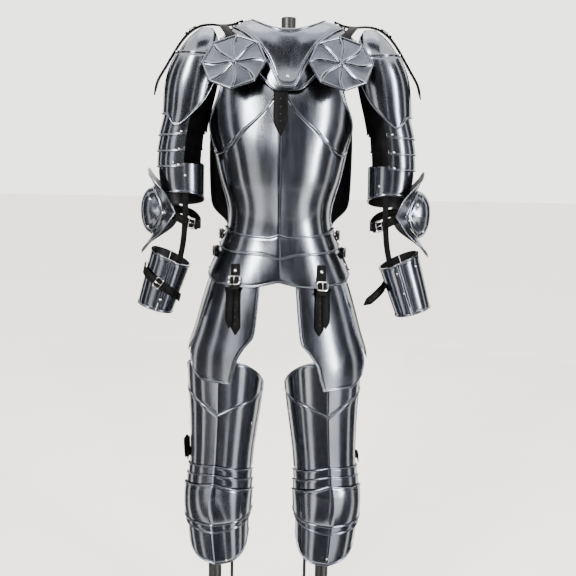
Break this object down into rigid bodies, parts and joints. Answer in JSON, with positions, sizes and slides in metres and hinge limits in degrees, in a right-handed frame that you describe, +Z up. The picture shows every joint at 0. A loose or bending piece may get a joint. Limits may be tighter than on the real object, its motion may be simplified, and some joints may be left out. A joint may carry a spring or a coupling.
{
  "type": "suit of plate armour on a stand",
  "caption": "Suit of plate armour for the trunk, arms and legs, of polished steel plates on black leather straps, hung on a black steel stand.",
  "frame": {"origin": "on the floor, under the middle plane of the breastplate, on the underside of the stand's base plate", "axes": "+Z up, -Y the way the suit faces, +X to the wearer's left"},
  "size_m": [0.6288, 0.3235, 1.507],
  "materials": {
    "polished_steel": "polished",
    "black_leather": "semi-matte",
    "black_stand": "satin"
  },
  "bodies": {
    "suit": {"breastplate": "polished_steel", "backplate": "polished_steel", "waist_lame": "polished_steel", "fauld_lame": "polished_steel", "culet_lame": "polished_steel", "gorget_front": "polished_steel", "gorget_back": "polished_steel", "side_tasset_left": "polished_steel", "tasset_left": "polished_steel", "pauldron_left": "polished_steel", "pauldron_cap_left": "polished_steel", "arm_lame_1_left": "polished_steel", "arm_lame_2_left": "polished_steel", "arm_lame_3_left": "polished_steel", "rerebrace_left": "polished_steel", "besagew_left": "polished_steel", "couter_wing_left": "polished_steel", "couter_cup_left": "polished_steel", "vambrace_outer_left": "polished_steel", "vambrace_inner_left": "polished_steel", "cuisse_left": "polished_steel", "knee_lame_1_left": "polished_steel", "knee_lame_2_left": "polished_steel", "knee_cop_left": "polished_steel", "side_tasset_right": "polished_steel", "tasset_right": "polished_steel", "pauldron_right": "polished_steel", "pauldron_cap_right": "polished_steel", "arm_lame_1_right": "polished_steel", "arm_lame_2_right": "polished_steel", "arm_lame_3_right": "polished_steel", "rerebrace_right": "polished_steel", "besagew_right": "polished_steel", "couter_wing_right": "polished_steel", "couter_cup_right": "polished_steel", "vambrace_outer_right": "polished_steel", "vambrace_inner_right": "polished_steel", "cuisse_right": "polished_steel", "knee_lame_1_right": "polished_steel", "knee_lame_2_right": "polished_steel", "knee_cop_right": "polished_steel", "bib_strap": "black_leather", "side_strap_left": "black_leather", "tasset_strap_left": "black_leather", "pauldron_strap_left": "black_leather", "elbow_strap_left": "black_leather", "vambrace_strap_left": "black_leather", "thigh_strap_left": "black_leather", "side_strap_right": "black_leather", "tasset_strap_right": "black_leather", "pauldron_strap_right": "black_leather", "elbow_strap_right": "black_leather", "vambrace_strap_right": "black_leather", "thigh_strap_right": "black_leather", "stand": "black_stand"},
    "shin_left": {"shin_lame_left": "polished_steel", "greave_left": "polished_steel"},
    "shin_right": {"shin_lame_right": "polished_steel", "greave_right": "polished_steel"}
  },
  "joints": [
    {"name": "knee_left", "type": "hinge", "parent": "suit", "child": "shin_left", "pos_m": [0.1145, -0.004, 0.439], "axis": [0.9894, 0.1031, -0.102], "range_deg": [0, 9]},
    {"name": "knee_right", "type": "hinge", "parent": "suit", "child": "shin_right", "pos_m": [-0.1285, -0.004, 0.439], "axis": [0.9894, -0.1031, 0.102], "range_deg": [0, 9]}
  ]
}
